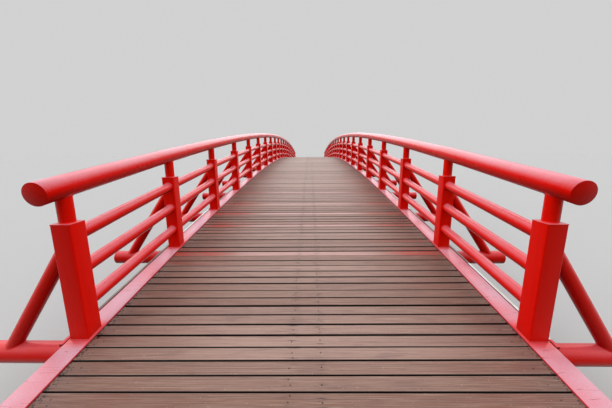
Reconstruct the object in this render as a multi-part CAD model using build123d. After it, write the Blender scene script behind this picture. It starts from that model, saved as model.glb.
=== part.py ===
from build123d import *
from math import cos, pi, sqrt
import os

# A moon bridge: a long, low arch of red-painted steel with a deck of brown boards.
# Two I-girders carry round floor beams, joists and the deck between them.
# Square posts stand on the girders, with a stub, a big round handrail and three rails.
# At each post an outrigger and a raking brace hold the post upright from outside.
# The arch is straight from post to post and turns a little at each, as it is welded up.
# Millimetres. +Y along the bridge, +X across it, +Z up, ground at Z = 0.

# The arch
bay = 1500.0               # spacing of the posts along Y
bays = 20
deck_end = 784.0           # deck and girders past the end posts
deck_radius = 118000.0     # of the circle through the girders' top at the posts

# Girders
girder_x = 1675.0          # centre line of each girder
girder_depth = 300.0
flange_width = 160.0
flange_thickness = 14.0
web_thickness = 10.0
stiffener_thickness = 12.0
stiffener_inset = 6.0      # from the flange's edge

# Deck and joists
board_drop = 10.0          # from the girder's top to the boards
board_thickness = 35.0
board_end_gap = 3.0        # from the boards to the flange's edge
board_gap = 9.0
deck_sections = 7
joist_width = 60.0
joist_depth = 40.0
centre_joist_x = 100.0
outer_joist_inset = 72.0   # from the boards' ends to the joist's side
seat_gap = 0.3             # between tubes and what they are seated on

# Floor beams, outriggers and braces
beam_diameter = 159.0
outrigger_reach = 775.0    # from the girder's centre line
brace_diameter = 102.0
brace_foot_reach = 618.0   # from the girder's centre line to the axis on the outrigger
brace_head_height = 637.0  # from the girder's top to the axis on the post's face

# Posts and rails
post_width = 140.0
post_height = 867.0
stub_diameter = 102.0
handrail_diameter = 159.0
handrail_height = 1121.0   # from the girder's top to the axis
handrail_overhang = 210.0  # past the end posts' centres
rail_diameter = 102.0
rail_heights = {"bottom": 225.0, "middle": 493.0, "top": 757.0}

# Light bars along the girders' outer edges
light_width = 24.0
light_depth = 20.0
light_drop = 4.0
light_gap = 13.0           # to the flange's edge, bridged by clips
light_joint = 6.0
light_overrun = 110.0      # past the end posts' centres
bays_per_light = 2
clip_length = 40.0
clip_thickness = 4.0

# Ends
end_beam_width = 100.0
end_beam_depth = 150.0
bearing_length = 220.0
bearing_width = 200.0
bearing_height = 40.0      # at its thinnest
abutment_width = 3800.0
abutment_height = 300.0
abutment_seat = 620.0
abutment_wall = 200.0
movement_gap = 10.0

# Flats on the round tubes, fewer on those that repeat
handrail_sides = 16
beam_sides = 10
brace_sides = 8
stub_sides = 8
rail_sides = 8

# Values that follow from them
half_span = bay * bays / 2
end_y = half_span + deck_end
post_rows = [bay * k - half_span for k in range(bays + 1)]
stations = [-end_y] + post_rows + [end_y]
flange_edge = girder_x + flange_width / 2
post_face = girder_x + post_width / 2
board_end = girder_x - flange_width / 2 - board_end_gap
joist_top = board_drop + board_thickness
joist_bottom = joist_top + joist_depth
beam_drop = joist_bottom + seat_gap + beam_diameter / 2
outer_joist_x = board_end - outer_joist_inset - joist_width / 2
joist_lines = {"centre": centre_joist_x, "outer": outer_joist_x}
end_height = abutment_height + bearing_height + girder_depth
centre_z = end_height - sqrt(deck_radius**2 - end_y**2)


def arch(y):
    """Height of the circle at y."""
    return centre_z + sqrt(deck_radius**2 - y**2)


def deck_line(y):
    """Height of the girders' top at y: on the circle at the posts, straight between."""
    after = next(k for k in range(1, len(stations)) if y <= stations[k] or stations[k] == end_y)
    y0, y1 = stations[after - 1], stations[after]
    share = (y - y0) / (y1 - y0)
    return arch(y0) * (1 - share) + arch(y1) * share


def joined(solids):
    first, *rest = solids
    return first.fuse(*rest).clean() if rest else first


def straight(outline, x, y0, y1, height=0.0):
    """A bar with this upright outline, from y0 to y1 within one bay."""
    start = Vector(x, y0, deck_line(y0) + height)
    end = Vector(x, y1, deck_line(y1) + height)
    upright = Plane(origin=start, x_dir=(1, 0, 0), z_dir=(0, -1, 0))
    return extrude(upright * outline, (end - start).length, dir=end - start)


def along_deck(outline, x, y0, y1, height=0.0):
    """A bar with this upright outline that follows the deck line and its turns."""
    ys = [y0] + [y for y in stations if y0 < y < y1] + [y1]
    return joined([straight(outline, x, a, b, height) for a, b in zip(ys, ys[1:])])


def block(width, depth, drop=0.0):
    """A rectangle whose top edge lies this far below the deck line."""
    return Pos(0, -drop - depth / 2) * Rectangle(width, depth)


def round_section(diameter, sides):
    """A many-sided section with a corner at its top."""
    return RegularPolygon(diameter / 2, sides, rotation=90)


def rod(start, end, diameter, sides, corner):
    """A many-sided bar between two points, with one corner towards a direction."""
    line = Line(start, end)
    plane = Plane(origin=line @ 0, x_dir=corner, z_dir=line % 0)
    return extrude(plane * RegularPolygon(diameter / 2, sides), line.length)


def with_gap(diameter, sides):
    """The size of a many-sided section whose flats lie the seat gap further out."""
    return diameter + 2 * seat_gap / cos(pi / sides)


def across(points, x, width):
    """A slab of this width with an outline in Y and Z."""
    face = make_face(Plane.YZ * Polyline(points, close=True))
    return Pos(X=x) * extrude(face, width / 2, both=True, dir=(1, 0, 0))


def make_girder(side):
    x = side * girder_x
    section = block(flange_width, flange_thickness)
    section += block(web_thickness, girder_depth)
    section += block(flange_width, flange_thickness, girder_depth - flange_thickness)
    girder = along_deck(section, x, -end_y, end_y)
    web_depth = girder_depth - 2 * flange_thickness
    plate = block(flange_width - 2 * stiffener_inset, web_depth, flange_thickness)
    seat_y = end_y - bearing_length / 2
    half = stiffener_thickness / 2
    return joined([girder] + [straight(plate, x, y - half, y + half) for y in (-seat_y, seat_y)])


def tube_across(y, x0, x1, diameter=beam_diameter):
    """A level tube under the joists at a post."""
    height = deck_line(y) - beam_drop
    return rod((x0, y, height), (x1, y, height), diameter, beam_sides, (0, 0, 1))


def make_floor_beam(y):
    reach = girder_x - web_thickness / 2
    return tube_across(y, -reach, reach)


def make_outrigger(side, y):
    return tube_across(y, side * (girder_x + web_thickness / 2), side * (girder_x + outrigger_reach))


def make_brace(side, y):
    """A raking tube, coped round the outrigger and cut flat on the post."""
    foot = Vector(side * (girder_x + brace_foot_reach), y, deck_line(y) - beam_drop)
    head = Vector(side * post_face, y, deck_line(y) + brace_head_height)
    lean = (head - foot).normalized()
    brace = rod(foot, head + lean * brace_diameter, brace_diameter, brace_sides, (0, 1, 0))
    outside = Plane(origin=(side * post_face, y, 0), z_dir=(side, 0, 0))
    brace = split(brace, bisect_by=outside, keep=Keep.TOP)
    reach = side * (girder_x + outrigger_reach)
    return brace - tube_across(y, side * post_face, reach, with_gap(beam_diameter, beam_sides))


def section_ends(section):
    """Where a deck section starts and ends, half a board gap inside its share."""
    share = 2 * end_y / deck_sections
    start = -end_y + share * section
    return start + board_gap / 2, start + share - board_gap / 2


def make_deck_section(section):
    boards = block(2 * board_end, board_thickness, board_drop)
    return along_deck(boards, 0, *section_ends(section))


def make_joists(x):
    joist = block(joist_width, joist_depth, joist_top)
    return [along_deck(joist, x, *section_ends(section)) for section in range(deck_sections)]


def make_post(side, y):
    """A square post, its foot cut to the girder's slopes and its top level."""
    half = post_width / 2
    foot = [(v, deck_line(v)) for v in (y - half, y, y + half)]
    top = deck_line(y) + post_height
    return across(foot + [(y + half, top), (y - half, top)], side * girder_x, post_width)


def handrail_run(side, y0, y1, diameter=handrail_diameter):
    section = round_section(diameter, handrail_sides)
    return along_deck(section, side * girder_x, y0, y1, handrail_height)


def make_handrail(side):
    reach = half_span + handrail_overhang
    return handrail_run(side, -reach, reach)


def make_stub(side, y):
    """A round stub on the post, coped to the handrail's underside."""
    x = side * girder_x
    base = deck_line(y) + post_height
    top = deck_line(y) + handrail_height
    stub = rod((x, y, base), (x, y, top), stub_diameter, stub_sides, (1, 0, 0))
    above = handrail_run(side, y - stub_diameter, y + stub_diameter,
                         with_gap(handrail_diameter, handrail_sides))
    return (stub - above).solids().sort_by(Axis.Z)[0]


def make_rail(side, y, height):
    """A straight rail from one post's face to the next."""
    section = round_section(rail_diameter, rail_sides)
    half = post_width / 2
    return straight(section, side * girder_x, y + half, y + bay - half, height)


def make_light_bar(side, first):
    """One length of light bar, with the clips that hold it to the flange."""
    last = min(first + bays_per_light, bays)
    y0 = post_rows[first] + light_joint / 2
    y1 = post_rows[last] - light_joint / 2
    if first == 0:
        y0 = post_rows[0] - light_overrun
    if last == bays:
        y1 = post_rows[bays] + light_overrun
    bar = block(light_width, light_depth, light_drop)
    clip = block(light_gap, clip_thickness, light_drop + (light_depth - clip_thickness) / 2)
    pieces = [along_deck(bar, side * (flange_edge + light_gap + light_width / 2), y0, y1)]
    for y in post_rows[first:last]:
        middle = y + bay / 2
        ends = (middle - clip_length / 2, middle + clip_length / 2)
        pieces.append(straight(clip, side * (flange_edge + light_gap / 2), *ends))
    return joined(pieces)


def make_end_beam(end):
    """A box beam between the webs, under the last joists."""
    beam = block(2 * girder_x - web_thickness, end_beam_depth, joist_bottom + seat_gap)
    return along_deck(beam, 0, *sorted((end * end_y, end * (end_y - end_beam_width))))


def make_bearing(side, end):
    """A wedge between the sloping girder and the level abutment."""
    ys = [end * end_y, end * (end_y - bearing_length)]
    top = [(y, deck_line(y) - girder_depth) for y in ys]
    foot = [(y, abutment_height) for y in reversed(ys)]
    return across(top + foot, side * girder_x, bearing_width)


def make_abutment(end):
    """A concrete seat under the girders with a wall behind, level with the deck."""
    front = end * (end_y - abutment_seat)
    inner = end * (end_y + movement_gap)
    outer = end * (end_y + movement_gap + abutment_wall)
    wall_top = end_height - board_drop
    return across([(front, 0), (outer, 0), (outer, wall_top), (inner, wall_top),
                   (inner, abutment_height), (front, abutment_height)], 0, abutment_width)


def save(name, solids):
    export_step(Compound(children=solids), f"parts/{name}.step")


os.makedirs("parts", exist_ok=True)

save("floor_beams", [make_floor_beam(y) for y in post_rows])
for section in range(deck_sections):
    save(f"deck_section_{section + 1}", [make_deck_section(section)])

for name, side in (("left", -1), ("right", 1)):
    save(f"{name}_girder", [make_girder(side)])
    save(f"{name}_outriggers", [make_outrigger(side, y) for y in post_rows])
    save(f"{name}_braces", [make_brace(side, y) for y in post_rows])
    save(f"{name}_posts", [make_post(side, y) for y in post_rows])
    save(f"{name}_post_stubs", [make_stub(side, y) for y in post_rows])
    save(f"{name}_handrail", [make_handrail(side)])
    for row, height in rail_heights.items():
        save(f"{name}_{row}_rails", [make_rail(side, y, height) for y in post_rows[:-1]])
    for row, x in joist_lines.items():
        save(f"{name}_{row}_joists", make_joists(side * x))
    lights = range(0, bays, bays_per_light)
    save(f"{name}_light_bars", [make_light_bar(side, first) for first in lights])

for name, end in (("near", -1), ("far", 1)):
    save(f"{name}_end_beam", [make_end_beam(end)])
    save(f"{name}_bearings", [make_bearing(side, end) for side in (-1, 1)])
    save(f"{name}_abutment", [make_abutment(end)])
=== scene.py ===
import bpy
import numpy as np
from mathutils import Matrix, Vector


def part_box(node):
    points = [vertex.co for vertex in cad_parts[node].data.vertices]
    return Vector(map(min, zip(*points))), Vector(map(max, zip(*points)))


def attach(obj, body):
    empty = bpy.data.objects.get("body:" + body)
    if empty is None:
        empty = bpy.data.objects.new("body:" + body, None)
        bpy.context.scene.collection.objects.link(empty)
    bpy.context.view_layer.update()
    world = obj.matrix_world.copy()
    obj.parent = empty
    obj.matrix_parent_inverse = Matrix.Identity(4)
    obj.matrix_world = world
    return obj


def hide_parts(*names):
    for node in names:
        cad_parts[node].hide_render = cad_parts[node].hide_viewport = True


# A red steel moon bridge with a board deck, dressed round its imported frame.
# Metres. +Y along the bridge, +X across it, +Z up, ground at Z = 0.

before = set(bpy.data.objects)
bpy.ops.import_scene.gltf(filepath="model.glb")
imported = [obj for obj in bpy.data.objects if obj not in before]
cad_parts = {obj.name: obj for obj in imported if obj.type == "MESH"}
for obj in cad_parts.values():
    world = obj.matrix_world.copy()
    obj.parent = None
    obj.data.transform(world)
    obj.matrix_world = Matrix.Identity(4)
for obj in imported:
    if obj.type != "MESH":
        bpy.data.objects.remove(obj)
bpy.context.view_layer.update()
chance = np.random.default_rng(59358)
SIDES = {"left": -1.0, "right": 1.0}

# The arch, straight from post to post
girder_low, girder_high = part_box("right_girder")
BAY = 1.5
BAYS = 20
DECK_RADIUS = 118.0
CREST = girder_high.z
END_Y = girder_high.y
HALF_SPAN = BAY * BAYS / 2
POST_ROWS = np.linspace(-HALF_SPAN, HALF_SPAN, BAYS + 1)
STATIONS = np.concatenate([[-END_Y], POST_ROWS, [END_Y]])

# Girders, joists and beams
GIRDER_X = (girder_low.x + girder_high.x) / 2
FLANGE_WIDTH = girder_high.x - girder_low.x
GIRDER_DEPTH = 0.300
FLANGE_THICKNESS = 0.014
WEB_THICKNESS = 0.010
WEB_FILLET = 0.008
FLANGE_EDGE = 0.002
STIFFENER = 0.012
STIFFENER_BACK = 0.006
STIFFENER_CORNER = 0.003
BEARING_INSET = 0.110
JOIST_WIDTH = 0.060
JOIST_DEPTH = 0.040
JOIST_CORNER = 0.004
JOIST_LINES = {"centre": 0.100, "outer": 1.490}
BEAM_RADIUS = 0.0795
BEAM_DROP = 0.1648
OUTRIGGER_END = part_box("right_outriggers")[1].x
OUTRIGGER_EASE = 0.0025
SEAM_BACK = (0.012, 0.011, 0.0095, 0.0085)
SEAM_DEPTH = 0.0012
BRACE_RADIUS = 0.051
BRACE_FOOT = 2.293
BRACE_HEAD = 0.637
BRACE_RINGS = (0.0, 0.35, 0.7, 1.0)

# Posts and rails
POST_WIDTH = 0.140
POST_CORNER = 0.0095
POST_HEIGHT = 0.867
POST_SINK = 0.0005
POST_RINGS = (0.0, 0.02, 0.25, 0.55)
CAP_THICKNESS = 0.006
CAP_OVERHANG = 0.0005
CAP_CORNER = 0.004
CAP_RINGS = (1.0, 0.85, 0.15, 0.0)
CAP_EASE = 0.985
STUB_RADIUS = 0.051
STUB_SINK = 0.001
STUB_RINGS = (POST_HEIGHT - STUB_SINK, POST_HEIGHT + 0.02, 0.95, 1.0)
HANDRAIL_RADIUS = 0.0795
HANDRAIL_HEIGHT = 1.121
HANDRAIL_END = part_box("right_handrail")[1].y
HANDRAIL_EASE = 0.002
RAIL_RADIUS = 0.051
RAIL_HEIGHTS = {"bottom": 0.225, "middle": 0.493, "top": 0.757}
BEAD = 0.0055
BEAD_RIPPLE = 0.16
BEAD_RISE = 0.001
FOOT_BEAD = BEAD * 0.8

# How many sides round parts have
FLOOR_SIDES = 96
HANDRAIL_SIDES = 72
OUTRIGGER_SIDES = 48
TUBE_SIDES = 40
RING_SIDES = 32
WELD_SIDES = 28
SCREW_SIDES = 8
BEAD_SIDES = 6

# Boards, numbered from the near end: odd gaps are in shares of BOARD_GAP, stains left to right
DECK_SECTIONS = 7
BOARDS_IN_SECTION = 40
BOARD_DROP = 0.010
BOARD_THICKNESS = 0.035
BOARD_END = 1.592
SECTION_GAP = 0.009
BOARD_GAP = 0.0158
GAP_SHARES = (0.35, 1.45)
ODD_GAPS = {3: 0.80, 4: 0.80, 5: 0.85, 6: 0.66, 7: 1.12, 8: 1.15, 9: 0.95, 10: 1.50, 11: 0.90,
            13: 1.30, 14: 1.25, 18: 0.35, 19: 1.40, 20: 1.50, 22: 1.50, 24: 1.50, 25: 1.20,
            26: 1.20, 27: 1.30, 28: 1.50, 29: 1.50, 30: 1.30, 31: 0.50, 32: 1.40, 36: 0.50,
            37: 1.40, 38: 1.40}
GROOVES = 6
GROOVE_DEPTH = 0.0006
GROOVE_WIDTH = 0.0036
GROOVE_MARGIN = 0.006
GROOVED_SHARE = 0.97
ARRIS = 0.0026
BOARD_SKEW = 0.0095
SKEW_EASE = 0.45
BOARD_STRAY = 0.0006
END_STRAY = 0.004
BOARD_SAG = 0.0009
BOARD_SINK = 0.0008
BOARD_TILT = 0.006
HALF_BOARD = 0.05
BOARD_RINGS = 9
GRAIN_SHIFT = 9.0
STAIN_MOST = 0.55
STAIN_FROM = 0.70
STAIN_RISE = 0.85
STAIN_PLACES = (-1.2, -0.8, 0.8, 1.2)
STAINED_BOARDS = {18: (1.2, 0.1, 1.1), 19: (0.3, 0.0, 0.3), 26: (1.1, 0.1, 0.8), 27: (0.5, 0.1, 0.3),
                  31: (1.1, 0.1, 0.8), 36: (1.0, 0.1, 0.6), 37: (0.4, 0.0, 0.4), 44: (0.7, 0.1, 0.6)}
BLUSHED_BOARDS = (18, 26, 31, 36, 44)
WORN_REACH = 2.0
WORN_LEFT = 0.2

# Screws: the profile is in shares of the head's radius, and heights
SCREW_LINES = (-1.490, -0.100, 0.100, 1.490)
SCREW_RADIUS = 0.0060
SCREW_PROFILE = ((0.98, -0.0030), (1.0, -0.0006), (0.80, 0.0002), (0.35, 0.0003), (0.28, -0.0009))
SCREW_SINK = 0.0006
SCREW_STRAY = (0.010, 0.012)
SECOND_SCREW = 0.028
SCREW_ODDS = (0.97, 0.28)

# Light bars, ends and bearings
LIGHT_X = 1.780
LIGHT_WIDTH = 0.024
LIGHT_DEPTH = 0.020
LIGHT_DROP = 0.001
LIGHT_CORNER = 0.002
LIGHT_JOINT = 0.006
LIGHT_OVERRUN = 0.110
BAYS_PER_LIGHT = 2
LIT_LENGTH = {"left": (1.80, 2.94), "right": (-0.04, 1.05)}
LID_WIDTH = 0.0236
LID_THICKNESS = 0.006
LID_CORNER = 0.0025
LID_PROUD = 0.0015
LID_INSET = 0.010
LID_JOINT = 0.004
CLIP_LENGTH = 0.040
CLIP_WIDTH = 0.013
CLIP_THICKNESS = 0.004
CLIP_CORNER = 0.001
END_BEAM_WIDTH = 0.100
END_BEAM_DEPTH = 0.150
END_BEAM_CORNER = 0.006
END_BEAM_GAP = 0.0003
BEARING_WIDTH = 0.200
SOLE_THICKNESS = 0.014
SOLE_MARGIN = 0.012
TOP_PLATE = 0.010
PLATE_EASE = 0.002
WALL_THICKNESS = 0.200
CONCRETE_EASE = 0.008

# Camera, solved from the posts and board gaps
PHOTO_WIDTH = 612
FOCAL_PIXELS = 279.63
SENSOR = 36.0
EYE_BEFORE_POST = 1.884
EYE_OVER_GIRDER = 1.3545
EYE_X = 0.031
YAW, PITCH, ROLL = -0.0154, -0.1887, -0.0052
FARTHEST_SEEN = 400.0

# Surroundings: a sky light is its azimuth, elevation, width and radiance
PALE = 0.64
PALE_LIT = 0.18
FLOOR_SEEN = 0.500
FLOOR_LIT = 0.07
FLOOR_RADIUS = 140.0
SKY_LIGHTS = {"sky_left": (-90.0, 38.0, 80.0, 1.53), "sky_right": (90.0, 38.0, 80.0, 1.20),
              "sky_ahead": (0.0, 40.0, 60.0, 1.90), "sky_behind": (180.0, 45.0, 80.0, 0.32)}


def arch(y):
    """Height of the circle through the girders' top at the posts."""
    return CREST - DECK_RADIUS + np.sqrt(DECK_RADIUS**2 - np.square(y))


def deck_line(y):
    """Height of the girders' top: on the circle at the posts, straight between them."""
    return np.interp(y, STATIONS, arch(STATIONS))


# Shapes: a shape is its points and a list of face tables, each of faces with as many corners

def volume(points, faces):
    """Signed volume: each face is fanned into triangles, each worth a sixth of its triple product."""
    total = 0.0
    for table in faces:
        first = points[table[:, 0]]
        for k in range(1, table.shape[1] - 1):
            second, third = points[table[:, k]], points[table[:, k + 1]]
            total += np.einsum("ij,ij->i", first, np.cross(second, third)).sum() / 6
    return total


def skin(rings, closed=False):
    """Closed skins over rings of points, one skin for each (rings, corners, 3) table.
    Corner j of ring i joins corner j of ring i + 1; the first and last rings are filled,
    or joined to each other where the skin is a closed loop. Faces point outwards."""
    count, length, corners = rings.shape[:3]
    i = np.arange(length if closed else length - 1)[:, None]
    j = np.arange(corners)[None, :]
    ahead, beside = (i + 1) % length, (j + 1) % corners
    quads = np.stack([i * corners + j, i * corners + beside,
                      ahead * corners + beside, ahead * corners + j], -1).reshape(-1, 4)
    faces = [quads]
    if not closed:
        first = np.arange(corners)[::-1]
        last = np.arange(corners) + (length - 1) * corners
        faces.append(np.stack([first, last]))
    one = rings[0].reshape(-1, 3)
    if volume(one - one.mean(0), faces) < 0:
        faces = [table[:, ::-1] for table in faces]
    return repeat((rings.reshape(count, -1, 3), faces))


def repeat(shape):
    """One shape out of many copies of the same faces, from (copies, points, 3)."""
    points, faces = shape
    count, size = points.shape[:2]
    step = (np.arange(count) * size)[:, None, None]
    tables = [(table[None] + step).reshape(-1, table.shape[1]) for table in faces]
    return points.reshape(-1, 3), tables


def placed(shape, places):
    """Copies of a shape, moved to each place."""
    points, faces = shape
    return repeat((points[None] + places[:, None, :], faces))


def on_side(shape, side):
    """The shape, or on the left its mirror image over the bridge's middle, faces turned back."""
    if side > 0:
        return shape
    points, faces = shape
    return points * np.array([-1.0, 1.0, 1.0]), [table[:, ::-1] for table in faces]


def at_posts(shape, drop=0.0):
    """Copies of a shape in each row of posts, this far under the girders' top."""
    return placed(shape, np.stack([0 * POST_ROWS, POST_ROWS, arch(POST_ROWS) - drop], -1))


def joined(*shapes):
    """One shape out of several."""
    points, faces, start = [], [], 0
    for shape_points, tables in shapes:
        points.append(shape_points)
        faces += [table + start for table in tables]
        start += len(shape_points)
    return np.concatenate(points), faces


def circle(radius, sides):
    """Points round a circle, as (sides, 2)."""
    turn = np.linspace(0, 2 * np.pi, sides, endpoint=False)
    return radius * np.stack([np.cos(turn), np.sin(turn)], -1)


def level(points):
    """Points in X and Y with no height."""
    return np.pad(points, ((0, 0), (0, 1)))


def rounded_box(width, height, corner, steps=3):
    """Outline of a rectangle about its middle, each corner an arc of so many steps."""
    corner = min(corner, width / 2.001, height / 2.001)
    turn = np.linspace(0, np.pi / 2, steps + 1)
    arcs = []
    for k, (sx, sy) in enumerate(((1, 1), (-1, 1), (-1, -1), (1, -1))):
        middle = np.array([sx * (width / 2 - corner), sy * (height / 2 - corner)])
        around = np.stack([np.cos(turn + k * np.pi / 2), np.sin(turn + k * np.pi / 2)], -1)
        arcs.append(middle + corner * around)
    return np.concatenate(arcs)


def along_deck(outline, x, ys, height=0.0, scales=None):
    """Rings of an upright outline in X and Z, carried along the deck line through these ys,
    which have one row for each bar where there are several."""
    ys = np.atleast_2d(ys)
    scales = np.ones(ys.shape[1]) if scales is None else scales
    rings = np.zeros(ys.shape + (len(outline), 3))
    rings[..., 0] = x + scales[None, :, None] * outline[:, 0]
    rings[..., 1] = ys[..., None]
    rings[..., 2] = (deck_line(ys) + height)[..., None] + scales[None, :, None] * outline[:, 1]
    return rings


def bars(outline, x, spans, height):
    """A closed bar along the deck line from each start to its end, with a ring at every post
    between them. A span that ends before it starts is left out."""
    made = []
    for start, end in spans:
        if end > start:
            turns = STATIONS[(STATIONS > start) & (STATIONS < end)]
            ys = np.concatenate([[start], turns, [end]])
            made.append(skin(along_deck(outline, x, ys, height)))
    return joined(*made)


def level_bar(xs, outline, scales=1.0):
    """Rings of an outline in Y and Z, carried across the bridge through these xs."""
    rings = np.zeros((1, len(xs), len(outline), 3))
    rings[..., 0] = np.reshape(xs, (-1, 1))
    rings[..., 1:] = np.reshape(scales, (-1, 1, 1)) * outline * [1, -1]
    return rings


def turned(profile, sides):
    """Rings about the Z axis: the profile's (radius, height) points swept round it."""
    ring = circle(1.0, sides)
    rings = np.zeros((1, len(profile), sides, 3))
    rings[0, :, :, :2] = profile[:, 0, None, None] * ring
    rings[0, :, :, 2] = profile[:, 1, None]
    return rings


def bead_round(curves, outward, size=BEAD):
    """Weld beads: small round sections swept along closed curves of (curves, points, 3),
    each section in the plane of its outward direction and the one square to that and the curve.
    The size swells and shrinks a little from point to point."""
    ahead = np.roll(curves, -1, 1) - np.roll(curves, 1, 1)
    ahead /= np.linalg.norm(ahead, axis=-1, keepdims=True)
    outward = outward - ahead * np.sum(outward * ahead, -1, keepdims=True)
    outward /= np.linalg.norm(outward, axis=-1, keepdims=True)
    other = np.cross(ahead, outward)
    section = circle(1.0, BEAD_SIDES)
    swell = size * (1 + BEAD_RIPPLE * chance.uniform(-1, 1, curves.shape[:2] + (1, 1)))
    offsets = section[:, :1] * outward[:, :, None] + section[:, 1:] * other[:, :, None]
    return skin(curves[:, :, None] + swell * offsets, closed=True)


def new_object(name, data):
    """An object in the scene, unmoved."""
    made = bpy.data.objects.new(name, data)
    bpy.context.scene.collection.objects.link(made)
    return made


def make_piece(name, shape, finish, node=None, smooth=32.0, marks=None):
    """Puts a shape into a mesh, with its finish, and marks that the finish reads at each point.
    The piece stands for the CAD node, if one is named."""
    points, tables = shape
    mesh = bpy.data.meshes.new(name)
    mesh.vertices.add(len(points))
    mesh.vertices.foreach_set("co", points.astype(np.float32).ravel())
    sizes = np.concatenate([np.full(len(table), table.shape[1]) for table in tables])
    starts = np.concatenate([[0], np.cumsum(sizes)[:-1]])
    mesh.loops.add(int(sizes.sum()))
    corners = np.concatenate([table.ravel() for table in tables])
    mesh.loops.foreach_set("vertex_index", corners.astype(np.int32))
    mesh.polygons.add(len(sizes))
    mesh.polygons.foreach_set("loop_start", starts.astype(np.int32))
    mesh.polygons.foreach_set("use_smooth", np.ones(len(sizes), bool))
    mesh.materials.append(finish)
    mesh.update(calc_edges=True)
    mesh.validate()
    for mark, values in (marks or {}).items():
        kind, field = ("FLOAT_VECTOR", "vector") if values.ndim == 2 else ("FLOAT", "value")
        layer = mesh.attributes.new(mark, kind, "POINT")
        layer.data.foreach_set(field, values.astype(np.float32).ravel())
    mesh.set_sharp_from_angle(angle=np.radians(smooth))
    piece = new_object(name, mesh)
    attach(piece, "root")
    if node:
        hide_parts(node)


# Node helpers for the finishes

class Value:
    """What a node puts out. A sum, difference or product with it is a Math node."""

    def __init__(self, socket):
        self.socket = socket
        self.tree = socket.id_data

    def __add__(self, other):
        return maths("ADD", self, other)

    def __sub__(self, other):
        return maths("SUBTRACT", self, other)

    def __rsub__(self, other):
        return maths("SUBTRACT", other, self)

    def __mul__(self, other):
        return maths("MULTIPLY", self, other)


def set_inputs(node, sockets):
    """Links or sets a node's inputs, each by its name or number."""
    for key, value in sockets.items():
        if isinstance(value, Value):
            value.tree.links.new(value.socket, node.inputs[key])
        else:
            node.inputs[key].default_value = value


def new_node(tree, kind, sockets=None, **settings):
    """A shader node with its settings and inputs."""
    node = tree.nodes.new("ShaderNode" + kind)
    for key, value in settings.items():
        setattr(node, key, value)
    set_inputs(node, sockets or {})
    return node


def outputs(node):
    """All that a node puts out, by name."""
    return {socket.name: Value(socket) for socket in node.outputs}


def add(tree, kind, sockets=None, output=0, **settings):
    """One output of a new node: the first, if no other is named."""
    return Value(new_node(tree, kind, sockets, **settings).outputs[output])


def maths(operation, a, b=0.0, clamp=False):
    """A Math node over a and b, one of which at least is a Value."""
    tree = a.tree if isinstance(a, Value) else b.tree
    return add(tree, "Math", {0: a, 1: b}, operation=operation, use_clamp=clamp)


def parts(vector):
    """A vector's X, Y and Z."""
    return [Value(socket) for socket in new_node(vector.tree, "SeparateXYZ", {0: vector}).outputs]


def stretch(vector, factors):
    """The vector with each part multiplied, so that a pattern is drawn out along it."""
    return add(vector.tree, "VectorMath", {0: vector, 1: factors}, operation="MULTIPLY")


def noise(vector, scale, detail=3.0, roughness=0.5):
    """Cloudy noise, 0 to 1. Three scales instead of one draw the pattern out."""
    if isinstance(scale, tuple):
        vector, scale = stretch(vector, scale), 1.0
    sockets = {"Vector": vector, "Scale": scale, "Detail": detail, "Roughness": roughness}
    return add(vector.tree, "TexNoise", sockets, "Fac")


def span(value, low, high, out_low=0.0, out_high=1.0):
    """The value's rise from low to high, eased at both ends, as out_low to out_high."""
    sockets = {"Value": value, "From Min": low, "From Max": high,
               "To Min": out_low, "To Max": out_high}
    return add(value.tree, "MapRange", sockets, "Result", interpolation_type="SMOOTHSTEP")


def blend(mask, under, over):
    """A colour that goes from under to over as the mask goes from 0 to 1."""
    return add(mask.tree, "Mix", {0: mask, 6: under, 7: over}, 2, data_type="RGBA")


def layered(colour, *layers):
    """The colour with others laid over it in turn, each as its mask says."""
    for mask, over in layers:
        colour = blend(mask, colour, over)
    return colour


def bump(height, strength, distance):
    """The normal of a surface raised by the height, this many metres where the height is 1."""
    sockets = {"Height": height, "Strength": strength, "Distance": distance}
    return add(height.tree, "Bump", sockets, "Normal")


def attribute(tree, mark, output="Fac"):
    """What a piece's own mark says at each point."""
    return add(tree, "Attribute", output=output, attribute_name=mark)


def facing(tree):
    """How far a surface faces along X, Y and Z."""
    return parts(add(tree, "NewGeometry", output="Normal"))


def rgb(red, green, blue):
    """A colour read as it looks on screen, 0 to 255, as the linear values that sockets hold."""
    screen = np.array([red, green, blue]) / 255
    linear = np.where(screen <= 0.04045, screen / 12.92, ((screen + 0.055) / 1.055) ** 2.4)
    return (*linear, 1.0)


def new_group(name, *amounts):
    """An empty node group that takes a place and these amounts, and its inputs by name."""
    group = bpy.data.node_groups.new(name, "ShaderNodeTree")
    group.interface.new_socket("Place", in_out="INPUT", socket_type="NodeSocketVector")
    for label in amounts:
        group.interface.new_socket(label, in_out="INPUT", socket_type="NodeSocketFloat")
    return group, outputs(group.nodes.new("NodeGroupInput"))


def close_group(group, values):
    """Puts these values out of the group under their names."""
    for label in values:
        group.interface.new_socket(label, in_out="OUTPUT", socket_type="NodeSocketFloat")
    set_inputs(group.nodes.new("NodeGroupOutput"), values)
    return group


def use_group(group, place, **amounts):
    """What a group puts out at this place with these amounts, by name."""
    return outputs(new_node(place.tree, "Group", {"Place": place, **amounts}, node_tree=group))


def new_finish(name):
    """A material, its Principled shader and its Object coordinates."""
    finish = bpy.data.materials.new(name)
    finish.use_nodes = True
    tree = finish.node_tree
    return finish, tree.nodes["Principled BSDF"], add(tree, "TexCoord", output="Object")


def set_shader(shader, **values):
    """Links or sets a shader's inputs, whose names have _ for each space here."""
    set_inputs(shader, {key.replace("_", " "): value for key, value in values.items()})


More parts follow.
